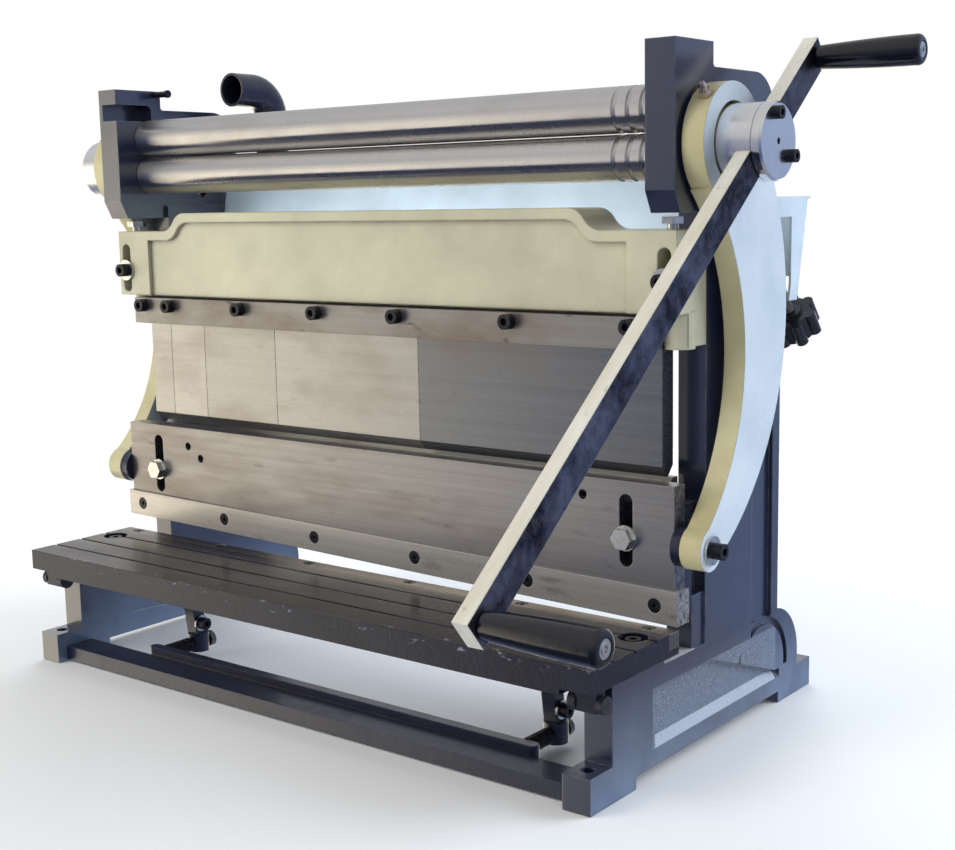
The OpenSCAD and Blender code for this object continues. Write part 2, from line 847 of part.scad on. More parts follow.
// Plain rectangular blade with a knife edge along its lower end
module finger(i) {
    tip_h = finger_t / 2 / tan(tip_angle / 2);
    side_gap = 0.15;
    color(steel)
        slab_x(finger_start(i) + side_gap, finger_start(i) + finger_w[i] - side_gap)
            polygon([[finger_y, finger_z[1]], [finger_y, finger_z[0] + tip_h],
                [v_y, finger_z[0]], [finger_y + finger_t, finger_z[0] + tip_h],
                [finger_y + finger_t, finger_z[1]]]);
}

// ---- rolls, crank and lever ----

module wire_grooves(z) {
    for (x = groove_x)
        translate([x, roll_y, z]) rotate([0, 90, 0])
            rotate_extrude() translate([roll_d / 2, 0]) circle(r = wire_r, $fn = 24);
}

module lower_roll() {
    color(bright) difference() {
        union() {
            rod_x(-roll_end_x, roll_end_x, roll_y, roll_z, roll_d);
            rod_x(-hub_x[0], hub_x[0], roll_y, roll_z, journal_d);
            rod_x(-left_hub_end + 4, lever_x[0] - 1, roll_y, roll_z, hub_journal_d);
        }
        wire_grooves(roll_z);
    }
}

module upper_roll() {
    color(bright) difference() {
        union() {
            rod_x(-roll_end_x, roll_end_x, roll_y, upper_z, roll_d);
            rod_x(-housing_x[1] + 2, housing_x[1] - 2, roll_y, upper_z, journal_d);
        }
        wire_grooves(upper_z);
    }
}

module right_hub() {
    color(bright) difference() {
        rod_x(hub_x[0], hub_x[1], hub_y, hub_z, hub_d);
        rod_x(hub_x[0] - 1, lever_x[0] - 0.5, roll_y, roll_z, hub_journal_d + fit);
        along_lever() block(lever_x[0] - 0.3, hub_x[1] + 1, -40, 40, -lever_w / 2 - 0.2,
            lever_w / 2 + 0.2);
        along_lever() for (s = [-1, 1])
            rod_x(hub_x[1] - 10, hub_x[1] + 1, cap_screw[0], s * cap_screw[1], 6.2);
    }
}

module left_hub() {
    color(bright) difference() {
        rod_x(-left_hub_end, -hub_x[0], hub_y, hub_z, hub_d);
        rod_x(-left_hub_end + 3.5, -hub_x[0] + 1, roll_y, roll_z, hub_journal_d + fit);
    }
}

module hub_cap() {
    color(bright) difference() {
        union() {
            rod_x(cap_x[0], cap_x[1] - 1.5, hub_y, hub_z, hub_d);
            translate([cap_x[1] - 1.6, hub_y, hub_z]) rotate([0, 90, 0])
                cylinder(d1 = hub_d, d2 = hub_d - 3, h = 1.6);
        }
        rod_x(cap_x[0] - 1, cap_x[1] + 1, hub_y, hub_z, 5);
        along_lever() for (s = [-1, 1])
            rod_x(cap_x[0] - 1, cap_x[1] + 1, cap_screw[0], s * cap_screw[1], 6.4);
    }
}

module hub_cap_screws() {
    color(black) along_lever() for (s = [-1, 1])
        difference() {
            union() {
                rod_x(cap_x[1], cap_x[1] + 6, cap_screw[0], s * cap_screw[1], 10);
                rod_x(cap_x[0] - 9, cap_x[1] + 1, cap_screw[0], s * cap_screw[1], 6);
            }
            translate([cap_x[1] + 3, cap_screw[0], s * cap_screw[1]]) rotate([0, 90, 0])
                cylinder(d = 5.6, h = 4, $fn = 6);
        }
}

module lever_bar() {
    color(steel) difference() {
        along_lever() block(lever_x[0], lever_x[1], -front_arm, rear_arm, -lever_w / 2, lever_w / 2);
        along_lever() for (y = grip_at)
            rod_x(lever_x[0] + 2, lever_x[1] + 1, y, 0, spindle_d + fit);
    }
}

module grip_spindles() {
    end_x = grip_x + grip_l;
    color(bright) along_lever() for (y = grip_at)
        difference() {
            union() {
                rod_x(lever_x[0] + 2.5, end_x, y, 0, spindle_d);
                rod_x(end_x - 3, end_x - 0.4, y, 0, 12);
            }
            translate([end_x - 2, y, 0]) rotate([0, 90, 0]) cylinder(d = 5, h = 4, $fn = 6);
        }
}

// Revolved handle sleeve that swells towards its free end
module grip(y) {
    tip_r = 4;
    root_r = 9.2;
    end_r = 11.8;
    swell = [for (i = [0:8])
        [root_r + (end_r - root_r) * sin(90 * i / 8), (grip_l - 2 * tip_r) * i / 8 + tip_r / 2]];
    color(black) along_lever() translate([grip_x, y, 0]) rotate([0, 90, 0]) difference() {
        rotate_extrude()
            polygon(concat([[0, 0], [root_r - 1.5, 0]], swell,
                arc(end_r - tip_r, grip_l - tip_r, tip_r, 0, 90, 6), [[0, grip_l]]));
        translate([0, 0, -1]) cylinder(d = spindle_d + 0.6, h = grip_l + 2);
        translate([0, 0, grip_l - 3.3]) cylinder(d = 12.8, h = 4);
    }
}

module latch_pin() {
    color(black) {
        rod_x(-330, -289, latch[0], latch[1], 6);
        rod_x(-289.1, -286, latch[0], latch[1], 7.6);
    }
}

// ---- rear roll ----

module rear_blocks() {
    color(steel) both_sides() difference() {
        along_slide(0) block(block_x[0], block_x[1], -block_w / 2, block_w / 2, -block_w / 2,
            block_w / 2);
        rod_x(block_x[0] - 1, block_x[1] + 1, rear_y, rear_z, rear_journal_d + 2 * fit);
    }
}

module rear_roll() {
    color(bright) {
        rod_x(-300, 300, rear_y, rear_z, roll_d);
        rod_x(-block_x[1] + 1, block_x[1] - 1, rear_y, rear_z, rear_journal_d);
    }
}

module adjuster() {
    along_slide(adjuster_x) translate([0, 0, -block_w / 2 - 0.4 - adjuster_l])
        cylinder(d = adjuster_d, h = adjuster_l);
}

module star_knob() {
    difference() {
        along_slide(adjuster_x) translate([0, 0, -block_w / 2 - 0.4 - adjuster_l]) {
            cylinder(r = knob_r, h = knob_t);
            for (i = [0:lobe_count - 1])
                rotate(360 / lobe_count * i) translate([knob_r, 0, 0])
                    cylinder(r = knob_lobe_r, h = knob_t);
            translate([0, 0, knob_t - 1]) cylinder(d = 22, h = 4);
        }
        along_slide(adjuster_x) translate([0, 0, -block_w / 2 - 1 - adjuster_l])
            cylinder(d = adjuster_d + fit, h = adjuster_l);
    }
}

module right_adjuster() {
    color(steel) adjuster();
}

module left_adjuster() {
    color(steel) mirror([1, 0, 0]) adjuster();
}

module right_knob() {
    color(black) star_knob();
}

module left_knob() {
    color(black) mirror([1, 0, 0]) star_knob();
}

right_frame();
left_frame();
tie_rods();
front_tie();
column_guides();
roll_bushes();
table();
lower_blade();
lower_blade_screws();
table_bolts();
table_lug_screws();
beam_clamp_screws();
frame_washers();
rear_panel();
rear_guard();
rear_elbow();
stop_arms();
stop_arm_screws();
stop_bar();
stop_rods();
stop_springs();
ram_beam();
front_plate();
upper_blade();
upper_blade_screws();
plate_bolts();
plate_set_screws();
v_die();
right_link();
left_link();
link_pins();
link_screws();
link_washers();
grease_nipples();
brake_beam();
clamp_bar();
clamp_bar_screws();
beam_jack_screws();
finger(0);  // finger_1
finger(1);  // finger_2
finger(2);  // finger_3
finger(3);  // finger_4
finger(4);  // finger_5
lower_roll();
right_hub();
left_hub();
hub_cap();
hub_cap_screws();
lever_bar();
grip_spindles();
grip(grip_at[0]);  // front_grip
grip(grip_at[1]);  // rear_grip
upper_roll();
latch_pin();
rear_blocks();
rear_roll();
right_adjuster();
right_knob();
left_adjuster();
left_knob();
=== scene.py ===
import bpy
import math
from mathutils import Matrix, Vector


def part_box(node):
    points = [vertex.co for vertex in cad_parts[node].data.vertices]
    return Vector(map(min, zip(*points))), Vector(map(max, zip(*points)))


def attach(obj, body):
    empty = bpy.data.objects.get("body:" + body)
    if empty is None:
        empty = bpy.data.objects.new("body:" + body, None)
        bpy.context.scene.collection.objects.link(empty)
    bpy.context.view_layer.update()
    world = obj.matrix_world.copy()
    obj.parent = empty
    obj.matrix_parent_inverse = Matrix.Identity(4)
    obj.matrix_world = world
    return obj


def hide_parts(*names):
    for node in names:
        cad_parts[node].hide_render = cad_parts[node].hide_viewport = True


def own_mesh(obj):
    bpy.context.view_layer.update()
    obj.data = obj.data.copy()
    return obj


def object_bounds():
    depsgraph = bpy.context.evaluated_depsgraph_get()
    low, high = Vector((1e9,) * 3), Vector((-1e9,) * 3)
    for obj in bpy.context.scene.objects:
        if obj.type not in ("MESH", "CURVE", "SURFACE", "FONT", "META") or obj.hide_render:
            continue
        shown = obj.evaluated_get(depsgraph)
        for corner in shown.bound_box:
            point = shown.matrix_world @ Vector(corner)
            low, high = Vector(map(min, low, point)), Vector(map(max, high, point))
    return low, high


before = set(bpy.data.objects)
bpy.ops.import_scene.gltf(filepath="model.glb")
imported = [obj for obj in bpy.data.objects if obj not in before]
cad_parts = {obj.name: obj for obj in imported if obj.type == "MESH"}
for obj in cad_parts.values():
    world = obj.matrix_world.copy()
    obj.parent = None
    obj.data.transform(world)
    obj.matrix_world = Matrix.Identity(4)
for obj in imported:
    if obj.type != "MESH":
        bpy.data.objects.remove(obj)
cad_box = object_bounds()


# ---------------------------------------------------------------- camera, lights and floor

def add_camera():
    """The camera: where it stands, how it is turned and its lens."""
    yaw = math.radians(38.112)
    pitch = math.radians(8.7934)
    roll = math.radians(-1.1051)
    ahead = Vector((-math.sin(yaw) * math.cos(pitch), math.cos(yaw) * math.cos(pitch), -math.sin(pitch)))
    level_right = Vector((math.cos(yaw), math.sin(yaw), 0))
    level_up = level_right.cross(ahead)
    right = math.cos(roll) * level_right + math.sin(roll) * level_up
    up = -math.sin(roll) * level_right + math.cos(roll) * level_up
    data = bpy.data.cameras.new("camera")
    data.sensor_width = 36.0
    data.lens = 55.08
    camera = bpy.data.objects.new("camera", data)
    place = Matrix((right, up, -ahead)).transposed().to_4x4()
    place.translation = (0.8900, -1.0224, 0.4470)
    camera.matrix_world = place
    bpy.context.collection.objects.link(camera)
    bpy.context.scene.camera = camera


def add_light(name, place, aim, size, power, colour):
    """A soft rectangular light, size wide and high, that looks at a point. Its own gleam isn't seen."""
    data = bpy.data.lights.new(name, "AREA")
    data.shape = "RECTANGLE"
    data.size, data.size_y = size
    data.energy = power
    data.color = colour
    light = bpy.data.objects.new(name, data)
    turn = (Vector(aim) - Vector(place)).to_track_quat("-Z", "Y")
    light.matrix_world = Matrix.Translation(place) @ turn.to_matrix().to_4x4()
    light.visible_glossy = False
    bpy.context.collection.objects.link(light)


def add_floor(name, x, radius, depth):
    """A plain pale disc at x, some depth below the object's lowest point."""
    rim = 64
    spots = [
        (radius * math.cos(2 * math.pi * i / rim), radius * math.sin(2 * math.pi * i / rim), 0)
        for i in range(rim)
    ]
    mesh = bpy.data.meshes.new(name)
    mesh.from_pydata(spots, [], [range(rim)])
    floor = bpy.data.objects.new(name, mesh)
    floor.location = (x, 0, cad_box[0][2] - depth)
    bpy.context.collection.objects.link(floor)
    pale = bpy.data.materials.new(name)
    pale.use_nodes = True
    shader = pale.node_tree.nodes["Principled BSDF"]
    shader.inputs["Base Color"].default_value = (0.88, 0.89, 0.90, 1)
    shader.inputs["Roughness"].default_value = 0.9
    floor.data.materials.append(pale)
    return floor


def add_flag():
    """A dark studio card over the brake beam, which gives the rolls their dark underside."""
    near, far = -0.150, -0.066
    left, right = -0.3, 0.3
    level = 0.436
    corners = [(left, near, 0), (right, near, 0), (right, far, 0), (left, far, 0)]
    mesh = bpy.data.meshes.new("flag")
    mesh.from_pydata(corners, [], [(0, 1, 2, 3)])
    flag = bpy.data.objects.new("flag", mesh)
    flag.location.z = level
    bpy.context.collection.objects.link(flag)
    dark = bpy.data.materials.new("flag")
    dark.use_nodes = True
    shader = dark.node_tree.nodes["Principled BSDF"]
    shader.inputs["Base Color"].default_value = (0.04, 0.05, 0.11, 1)
    shader.inputs["Roughness"].default_value = 1.0
    shader.inputs["Specular IOR Level"].default_value = 0.0
    flag.data.materials.append(dark)
    return flag


def colour_ramp(tree, share, stops):
    """Colours along a value from 0 to 1."""
    node = tree.nodes.new("ShaderNodeValToRGB")
    tree.links.new(share, node.inputs[0])
    points = node.color_ramp.elements
    while len(points) < len(stops):
        points.new(0.5)
    for point, (at, colour) in zip(points, stops):
        point.position = at
        point.color = (*colour, 1)
    return node.outputs[0]


def add_room():
    """The world: plain white to the camera, and a room with a warm window to all other rays."""
    world = bpy.data.worlds.new("room")
    bpy.context.scene.world = world
    world.use_nodes = True
    tree = world.node_tree
    nodes = tree.nodes
    link = tree.links.new
    parts = nodes.new("ShaderNodeSeparateXYZ")
    link(nodes.new("ShaderNodeTexCoord").outputs["Generated"], parts.inputs[0])

    def maths(kind, a, b):
        node = nodes.new("ShaderNodeMath")
        node.operation = kind
        for socket, value in zip(node.inputs, (a, b)):
            if isinstance(value, (int, float)):
                socket.default_value = value
            else:
                link(value, socket)
        return node.outputs[0]

    def band(value, low, high):
        node = nodes.new("ShaderNodeMapRange")
        link(value, node.inputs[0])
        node.inputs[1].default_value = low
        node.inputs[2].default_value = high
        return node.outputs[0]

    def mix(share, a, b):
        node = nodes.new("ShaderNodeMix")
        node.data_type = "RGBA"
        link(share, node.inputs[0])
        for socket, value in ((node.inputs[6], a), (node.inputs[7], b)):
            if isinstance(value, tuple):
                socket.default_value = (*value, 1)
            else:
                link(value, socket)
        return node.outputs[2]

    # The walls' colours, by height: 0 is straight down and 1 is straight up
    x, y, z = parts.outputs[0], parts.outputs[1], parts.outputs[2]
    height = band(z, -1.0, 1.0)
    front = colour_ramp(tree, height, [
        (0.00, (0.05, 0.06, 0.12)),
        (0.25, (0.07, 0.09, 0.18)),
        (0.42, (0.16, 0.20, 0.33)),
        (0.52, (0.24, 0.27, 0.38)),
        (0.64, (0.52, 0.52, 0.54)),
        (0.82, (0.62, 0.62, 0.63)),
        (1.00, (0.55, 0.55, 0.56)),
    ])
    behind = colour_ramp(tree, height, [
        (0.00, (0.20, 0.24, 0.38)),
        (0.40, (0.26, 0.33, 0.52)),
        (0.52, (0.32, 0.40, 0.60)),
        (0.66, (0.50, 0.55, 0.66)),
        (0.85, (0.58, 0.59, 0.60)),
        (1.00, (0.55, 0.55, 0.56)),
    ])
    across = maths("SQRT", maths("SUBTRACT", 1.0, maths("MULTIPLY", z, z)), 0.0)
    ahead = maths("DIVIDE", maths("MULTIPLY", y, -1.0), across)
    around = mix(band(ahead, -0.3, 0.3), behind, front)

    # The window, in front of the machine and to its left, fades out at its edges
    tall = maths("MULTIPLY", band(z, -0.56, -0.50), band(z, 0.34, -0.02))
    wide = maths("MULTIPLY", band(ahead, 0.86, 0.66), band(x, 0.1, -0.2))
    warm = (2.0, 1.82, 1.45)
    around = mix(maths("MULTIPLY", tall, wide), around, warm)

    seen = nodes.new("ShaderNodeLightPath").outputs["Is Camera Ray"]
    link(mix(seen, around, (1.0, 1.0, 1.0)), nodes["Background"].inputs[0])


add_camera()
add_light("key", (-1.0, -2.0, 2.2), (0, 0, 0.3), (1.5, 1.5), 26, (1.0, 0.97, 0.90))
add_light("front", (-1.5, -2.0, 0.55), (0, 0, 0.4), (1.0, 1.0), 17, (1.0, 0.98, 0.94))
add_light("side", (2.0, 1.7, 1.5), (0.2, 0, 0.2), (1.7, 1.7), 62, (0.78, 0.88, 1.0))
add_light("back", (-1.0, 1.8, 1.9), (0, 0, 0.3), (1.6, 1.6), 24, (0.95, 0.97, 1.0))
add_light("inside", (0, -0.01, 0.425), (0, 0.1, 0.43), (0.5, 0.03), 0.25, (0.86, 0.92, 1.0))
add_floor("floor", 0, 1.3, 0.0005).visible_glossy = False

# Seen in gleams alone: a second disc to the right, and the dark card
for card in (add_floor("floor_gleam", 0.68, 0.36, 0.0015), add_flag()):
    card.visible_camera = False
    card.visible_diffuse = False
    card.visible_shadow = False
add_room()
bpy.context.scene.view_settings.view_transform = "Standard"


# ---------------------------------------------------------------- finishes

class Finish:
    """One material, written as a chain of small steps over the object's own coordinates, in metres."""

    def __init__(self, name, rough=0.4, metal=0.0, coat=0.0, coat_rough=0.1):
        self.mat = bpy.data.materials.new(name)
        self.mat.use_nodes = True
        self.nodes = self.mat.node_tree.nodes
        self.link = self.mat.node_tree.links.new
        self.shader = self.nodes["Principled BSDF"]
        self.shader.inputs["Roughness"].default_value = rough
        self.shader.inputs["Metallic"].default_value = metal
        self.shader.inputs["Coat Weight"].default_value = coat
        self.shader.inputs["Coat Roughness"].default_value = coat_rough
        coords = self.nodes.new("ShaderNodeTexCoord")
        self.at = coords.outputs["Object"]
        self.facing = self.parts(coords.outputs["Normal"])
        self.x, self.y, self.z = self.parts(self.at)
        self.soft = None
        self.edge = None

    def put(self, value, socket):
        """A number or colour is set on the socket, and anything else is linked to it."""
        if isinstance(value, (int, float)):
            socket.default_value = value
        elif isinstance(value, tuple):
            socket.default_value = (*value, 1) if len(socket.default_value) == 4 else value
        else:
            self.link(value, socket)

    def parts(self, vector):
        node = self.nodes.new("ShaderNodeSeparateXYZ")
        self.link(vector, node.inputs[0])
        return node.outputs[0], node.outputs[1], node.outputs[2]

    def maths(self, kind, a, b=0.0):
        node = self.nodes.new("ShaderNodeMath")
        node.operation = kind
        self.put(a, node.inputs[0])
        self.put(b, node.inputs[1])
        return node.outputs[0]

    def times(self, *values):
        out = values[0]
        for value in values[1:]:
            out = self.maths("MULTIPLY", out, value)
        return out

    def band(self, value, low, high, to_low=0.0, to_high=1.0):
        """Value from low to high becomes to_low to to_high, held flat outside."""
        node = self.nodes.new("ShaderNodeMapRange")
        self.put(value, node.inputs[0])
        for socket, number in zip(node.inputs[1:5], (low, high, to_low, to_high)):
            socket.default_value = number
        return node.outputs[0]

    def within(self, value, low, high, soft=0.0006):
        """1 between low and high, 0 outside."""
        return self.times(self.band(value, low - soft, low), self.band(value, high + soft, high))

    def noise(self, scale, stretch=(1, 1, 1), detail=3.0, rough=0.55):
        """Noise with cells of about 1/scale metres, drawn out along an axis by a stretch below 1."""
        turn = self.nodes.new("ShaderNodeMapping")
        self.link(self.at, turn.inputs[0])
        turn.inputs[3].default_value = stretch
        node = self.nodes.new("ShaderNodeTexNoise")
        self.link(turn.outputs[0], node.inputs["Vector"])
        node.inputs["Scale"].default_value = scale
        node.inputs["Detail"].default_value = detail
        node.inputs["Roughness"].default_value = rough
        return node.outputs[0]

    def mix(self, share, a, b):
        node = self.nodes.new("ShaderNodeMix")
        node.data_type = "RGBA"
        self.put(share, node.inputs[0])
        self.put(a, node.inputs[6])
        self.put(b, node.inputs[7])
        return node.outputs[2]

    def soften(self, radius):
        """Rounds the edges to the light, and finds how near an edge is as self.edge."""
        round_edge = self.nodes.new("ShaderNodeBevel")
        round_edge.samples = 4
        round_edge.inputs[0].default_value = radius
        self.soft = round_edge.outputs[0]
        true = self.nodes.new("ShaderNodeNewGeometry").outputs["Normal"]
        node = self.nodes.new("ShaderNodeVectorMath")
        node.operation = "DOT_PRODUCT"
        self.link(self.soft, node.inputs[0])
        self.link(true, node.inputs[1])
        self.edge = self.band(node.outputs["Value"], 0.995, 0.86)

    def corner(self, reach):
        """How deep in a corner a point is."""
        node = self.nodes.new("ShaderNodeAmbientOcclusion")
        node.samples = 4
        node.inputs["Distance"].default_value = reach
        return self.band(node.outputs["AO"], 0.85, 0.35)

    def bump(self, height, depth, share=1.0):
        node = self.nodes.new("ShaderNodeBump")
        node.inputs["Distance"].default_value = depth
        self.put(share, node.inputs["Strength"])
        self.put(height, node.inputs["Height"])
        if self.soft is not None:
            self.link(self.soft, node.inputs["Normal"])
        self.soft = node.outputs[0]

    def done(self, colour, rough=None):
        self.put(colour, self.shader.inputs["Base Color"])
        if rough is not None:
            self.put(rough, self.shader.inputs["Roughness"])
        if self.soft is not None:
            self.link(self.soft, self.shader.inputs["Normal"])
        return self.mat


def scaled(colour, by):
    return tuple(part * by for part in colour)


def paint(name, colour, worn, rough=0.36, coat=0.35, lump=0.00025, round_edge=0.0012):
    """Enamel on metal: slightly uneven, thin and paler along the edges, with painted shade in the corners."""
    f = Finish(name, rough, 0.0, coat, 0.14)
    f.soften(round_edge)
    tone = f.mix(f.band(f.noise(9, detail=5), 0.35, 0.7), scaled(colour, 0.82), scaled(colour, 1.15))
    chips = f.times(f.edge, f.band(f.noise(160, detail=4), 0.40, 0.66))
    tone = f.mix(f.times(chips, 0.75), tone, worn)
    # Painted shade: deep in the corners, found by ambient occlusion and broken up by noise, the enamel turns
    # to a dark copy of itself.
    grime_and_corner_shade = f.times(f.corner(0.006), f.band(f.noise(55, detail=5), 0.35, 0.65, 0.35, 1.0))
    tone = f.mix(f.times(grime_and_corner_shade, 0.75), tone, scaled(colour, 0.16))
    dust = f.band(f.noise(35, detail=6), 0.52, 0.8, 0.0, 0.22)
    f.bump(f.noise(330, detail=4), lump)
    f.bump(f.noise(2600, detail=2), 0.00004)
    return f.done(tone, f.band(dust, 0.0, 0.22, rough, rough + 0.16))


def casting(name):
    """Navy enamel over rough cast iron, with sand-cast pockets and painted sheen and highlights low down."""
    navy = (0.008, 0.013, 0.040)
    f = Finish(name, 0.34, 0.0, 0.9, 0.16)
    f.shader.inputs["Specular IOR Level"].default_value = 0.65
    f.shader.inputs["Coat IOR"].default_value = 1.8
    f.soften(0.0018)
    tone = f.mix(f.band(f.noise(7, detail=5), 0.35, 0.7), scaled(navy, 0.8), scaled(navy, 1.25))
    side = f.maths("ABSOLUTE", f.x)
    pocket = f.times(f.band(side, 0.315, 0.318), f.within(f.y, -0.094, 0.112), f.within(f.z, 0.024, 0.072))
    horn = f.band(f.z, 0.565, 0.58)
    cast = f.maths("MAXIMUM", pocket, f.times(horn, 0.55))
    # Pale blue flecks in the rough-cast pocket and horn: cast speckle, made pale as painted sheen.
    sheen_flecks = f.band(f.noise(620, detail=4, rough=0.7), 0.50, 0.66)
    tone = f.mix(f.times(cast, f.band(sheen_flecks, 0.0, 1.0, 0.25, 0.9)), tone, (0.40, 0.46, 0.58))
    # Painted highlight: the upward faces low in the pocket are made pale blue-white.
    ledge_highlight = f.times(f.band(f.facing[2], 0.3, 0.55), f.within(f.y, -0.094, 0.112), f.within(f.z, 0.010, 0.040))
    tone = f.mix(f.times(ledge_highlight, 0.85), tone, (0.62, 0.68, 0.78))
    # Painted reflection: the outer side faces turn pale blue towards the floor, as the floor's sheen on the
    # paint.
    outer = f.band(f.maths("ABSOLUTE", f.facing[0]), 0.8, 0.95)
    cloud = f.band(f.noise(22, detail=5), 0.3, 0.6, 0.6, 1.0)
    haze_and_painted_sheen = f.times(outer, f.band(f.z, 0.085, 0.005, 0.0, 0.8), cloud)
    tone = f.mix(haze_and_painted_sheen, tone, (0.20, 0.27, 0.38))
    thin = f.times(f.edge, f.band(f.noise(120, detail=4), 0.36, 0.62))
    tone = f.mix(f.times(thin, 0.7), tone, (0.16, 0.20, 0.28))
    # Painted highlight: a pale strip on the level top of the shoulder behind the table.
    level = f.band(f.facing[2], 0.9, 0.95)
    shoulder_highlight = f.times(level, f.within(f.z, 0.0868, 0.0892), f.within(f.y, -0.075, -0.03))
    tone = f.mix(shoulder_highlight, tone, (0.72, 0.74, 0.76))
    f.bump(f.noise(260, detail=6, rough=0.7), 0.0022, f.band(cast, 0.0, 1.0, 0.08, 1.0))
    f.bump(f.noise(1500, detail=3), 0.00006)
    rough = f.band(f.noise(24, detail=5), 0.3, 0.75, 0.26, 0.46)
    return f.done(tone, rough)


def ground(name, colour, rough=0.30, stain=0.5, smear=0.6, grain=(0.004, 1, 1), rim=(0.80, 0.78, 0.74)):
    """Ground steel: fine scratches along the grain, oil stains, and dark smears beside the edges."""
    f = Finish(name, rough, 0.92)
    f.soften(0.0009)
    lines = f.noise(1500, grain, detail=3, rough=0.7)
    cloth = f.noise(260, grain, detail=4, rough=0.6)
    tone = f.mix(f.band(cloth, 0.3, 0.7), scaled(colour, 0.93), scaled(colour, 1.06))
    tone = f.mix(f.band(lines, 0.4, 0.8, 0.0, 0.12), tone, scaled(colour, 0.55))
    blot = f.band(f.noise(11, (0.7, 1, 1.6), detail=7, rough=0.62), 0.50, 0.72, 0.0, stain)
    tone = f.mix(blot, tone, (0.24, 0.17, 0.11))
    spots = f.band(f.noise(95, (0.35, 1, 1), detail=5), 0.64, 0.74, 0.0, smear)
    tone = f.mix(spots, tone, (0.10, 0.08, 0.07))
    rubbed = f.times(f.edge, f.band(f.noise(60, detail=3), 0.35, 0.6, 0.4, 1.0))
    tone = f.mix(f.times(rubbed, 0.7), tone, rim)
    f.bump(lines, 0.000012)
    f.bump(cloth, 0.000012)
    dull = f.maths("ADD", blot, f.times(cloth, 0.4))
    return f.done(tone, f.band(dull, 0.0, 0.9, rough - 0.03, rough + 0.2))


def cut_edges(name, colour, stain=0.5, smear=0.6, rough=0.3, metal=0.92):
    """Ground steel whose end faces still show the cutter's upright marks."""
    f = Finish(name, rough, metal)
    f.soften(0.0009)
    end = f.band(f.maths("ABSOLUTE", f.facing[0]), 0.8, 0.95)
    lines = f.noise(1500, (0.004, 1, 1), detail=3, rough=0.7)
    cloth = f.noise(240, (0.004, 1, 1), detail=4, rough=0.6)
    saw = f.noise(520, (1, 1, 0.5), detail=5, rough=0.7)
    tone = f.mix(f.band(cloth, 0.3, 0.7), scaled(colour, 0.90), scaled(colour, 1.08))
    tone = f.mix(f.band(lines, 0.4, 0.8, 0.0, 0.16), tone, scaled(colour, 0.55))
    blot = f.band(f.noise(9, (0.6, 1, 2.2), detail=7, rough=0.62), 0.48, 0.72, 0.0, stain)
    tone = f.mix(blot, tone, (0.23, 0.165, 0.11))
    spots = f.band(f.noise(70, (0.3, 1, 1), detail=6), 0.62, 0.72, 0.0, smear)
    tone = f.mix(spots, tone, (0.09, 0.075, 0.07))
    tone = f.mix(f.times(end, f.band(saw, 0.42, 0.62)), tone, (0.05, 0.055, 0.075))
    tone = f.mix(f.times(f.edge, 0.5), tone, (0.82, 0.80, 0.76))
    f.bump(lines, 0.000022)
    f.bump(saw, 0.0005, end)
    return f.done(tone, f.band(blot, 0.0, 0.6, rough, rough + 0.18))


def turned(name, colour, rough=0.16, ring=0.00002, spread=0.0):
    """Turned steel with hair lines round the X axis and a haze of oil; spread draws out its gleam."""
    f = Finish(name, rough, 1.0)
    f.shader.inputs["Anisotropic"].default_value = spread
    along = f.nodes.new("ShaderNodeCombineXYZ")
    along.inputs[0].default_value = 1
    f.link(along.outputs[0], f.shader.inputs["Tangent"])
    f.soften(0.0008)
    rings = f.noise(1400, (1, 0.01, 0.01), detail=2)
    haze_and_painted_sheen = f.noise(18, (0.5, 1, 1), detail=6, rough=0.6)
    tone = f.mix(f.band(rings, 0.3, 0.7), scaled(colour, 0.97), scaled(colour, 1.02))
    tone = f.mix(f.band(haze_and_painted_sheen, 0.52, 0.75, 0.0, 0.22), tone, (0.40, 0.34, 0.28))
    f.bump(rings, ring)
    return f.done(tone, f.band(haze_and_painted_sheen, 0.3, 0.75, rough - 0.03, rough + 0.14))


def table_finish(name):
    """Dark planed iron on top, navy enamel on the sides, with a chipped front edge."""
    low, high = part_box("table")
    f = Finish(name, 0.3, 0.0, 0.15, 0.12)
    f.shader.inputs["Specular IOR Level"].default_value = 0.32
    f.soften(0.0012)
    top = f.band(f.facing[2], 0.6, 0.85)
    planed = f.noise(700, (0.01, 1, 1), detail=3)
    worn = f.noise(13, (0.6, 1, 1), detail=6)
    iron = f.mix(f.band(worn, 0.38, 0.68), (0.014, 0.012, 0.014), (0.034, 0.028, 0.030))
    iron = f.mix(f.band(planed, 0.4, 0.75, 0.0, 0.35), iron, (0.022, 0.018, 0.02))
    side = f.mix(f.band(f.noise(12, detail=5), 0.4, 0.7), (0.007, 0.008, 0.018), (0.013, 0.015, 0.032))
    tone = f.mix(top, side, iron)
    rim = f.times(f.band(f.y, low.y + 0.006, low.y + 0.001), f.band(f.z, high.z - 0.010, high.z - 0.003))
    chips = f.times(rim, f.band(f.noise(130, (0.5, 1, 1.4), detail=6, rough=0.65), 0.60, 0.64))
    run = f.times(f.edge, f.band(f.noise(40, (0.3, 1, 1), detail=5), 0.45, 0.6))
    tone = f.mix(f.maths("MAXIMUM", chips, f.times(run, 0.4)), tone, (0.24, 0.26, 0.33))
    f.bump(planed, 0.00003, top)
    f.bump(f.noise(240, detail=5), 0.0004, f.band(top, 0.0, 1.0, 0.5, 0.04))
    f.bump(chips, -0.0004)
    return f.done(tone, f.band(f.maths("ADD", worn, f.times(planed, 0.2)), 0.4, 0.85, 0.20, 0.42))


